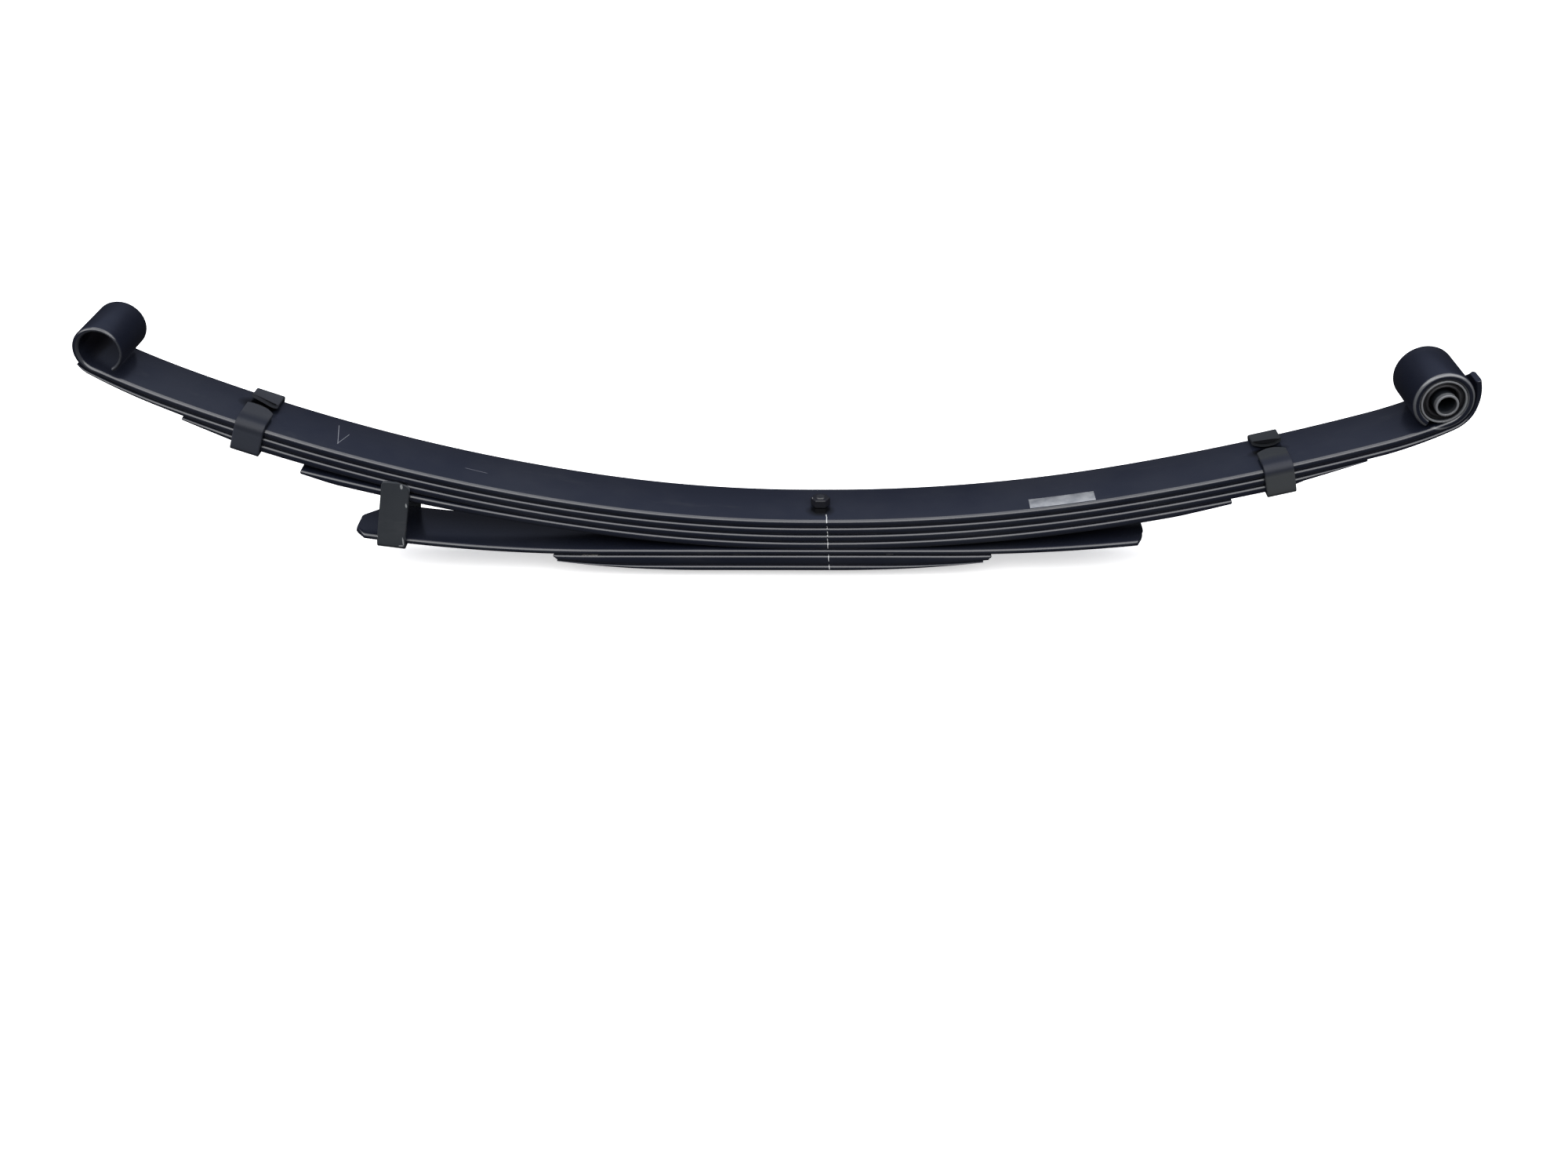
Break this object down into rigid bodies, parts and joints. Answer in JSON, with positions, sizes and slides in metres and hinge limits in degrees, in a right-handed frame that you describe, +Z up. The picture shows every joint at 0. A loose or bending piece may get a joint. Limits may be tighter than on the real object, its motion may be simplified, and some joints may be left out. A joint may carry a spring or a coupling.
{
  "type": "leaf spring",
  "caption": "Multi-leaf spring with a plain rolled eye, a rubber-bushed rolled eye, rebound clips, a helper leaf and a centre bolt.",
  "frame": {"origin": "on the centre bolt's axis at the flat axle seat under the lowest leaf", "axes": "+X towards the eye with the rubber bush, +Y across the leaves, +Z up from the seat towards the nut"},
  "size_m": [1.3279, 0.08, 0.2726],
  "materials": {
    "leaf_paint": "black satin paint on spring steel",
    "clip_paint": "black satin paint on bent strap",
    "helper_clip_paint": "dark grey satin paint on bent strap, chipped",
    "rivet_paint": "black satin paint",
    "bolt_steel": "painted steel, thread bare in places",
    "nut_steel": "black paint chipped to steel on the top edge",
    "sleeve_steel": "painted steel tube",
    "tube_steel": "painted steel tube",
    "bush_rubber": "matt black rubber",
    "label": "plain silver foil label, blank"
  },
  "bodies": {
    "pack": {"main_leaf": "leaf_paint", "second_leaf": "leaf_paint", "third_leaf": "leaf_paint", "fourth_leaf": "leaf_paint", "helper_leaf": "leaf_paint", "overload_leaf": "leaf_paint", "base_leaf": "leaf_paint", "centre_bolt": "bolt_steel", "centre_nut": "nut_steel", "id_label": "label"},
    "front_arm": {"front_clip": "clip_paint", "front_clip_rivet": "rivet_paint", "front_bush_sleeve": "sleeve_steel", "front_bush_rubber": "bush_rubber"},
    "rear_arm": {"rear_clip": "clip_paint", "rear_clip_rivet": "rivet_paint"},
    "helper_arm": {"helper_clip": "helper_clip_paint", "helper_clip_rivet": "rivet_paint"},
    "bush_tube": {"front_bush_tube": "tube_steel"}
  },
  "joints": [
    {"name": "front_arm_flex", "type": "hinge", "parent": "pack", "child": "front_arm", "pos_m": [0.294, 0, 0.0745], "axis": [0, 1, 0], "range_deg": [-2, 10], "stiffness_Nm_per_rad": 2330, "deforming": ["main_leaf", "second_leaf", "third_leaf", "fourth_leaf", "id_label"]},
    {"name": "rear_arm_flex", "type": "hinge", "parent": "pack", "child": "rear_arm", "pos_m": [-0.341, 0, 0.083], "axis": [0, -1, 0], "range_deg": [-2.4, 11.8], "stiffness_Nm_per_rad": 2010, "deforming": ["main_leaf", "second_leaf", "third_leaf", "fourth_leaf"]},
    {"name": "helper_arm_flex", "type": "hinge", "parent": "pack", "child": "helper_arm", "pos_m": [-0.3, 0, 0.0235], "axis": [0, -1, 0], "range_deg": [0, 4], "stiffness_Nm_per_rad": 700, "deforming": ["helper_leaf"]},
    {"name": "bush_twist", "type": "hinge", "parent": "front_arm", "child": "bush_tube", "pos_m": [0.5896, 0, 0.1835], "axis": [0, 1, 0], "range_deg": [-20, 20], "stiffness_Nm_per_rad": 60}
  ],
  "couplings": [
    {"joint": "rear_arm_flex", "follows": "front_arm_flex", "ratio": 1.16}
  ]
}
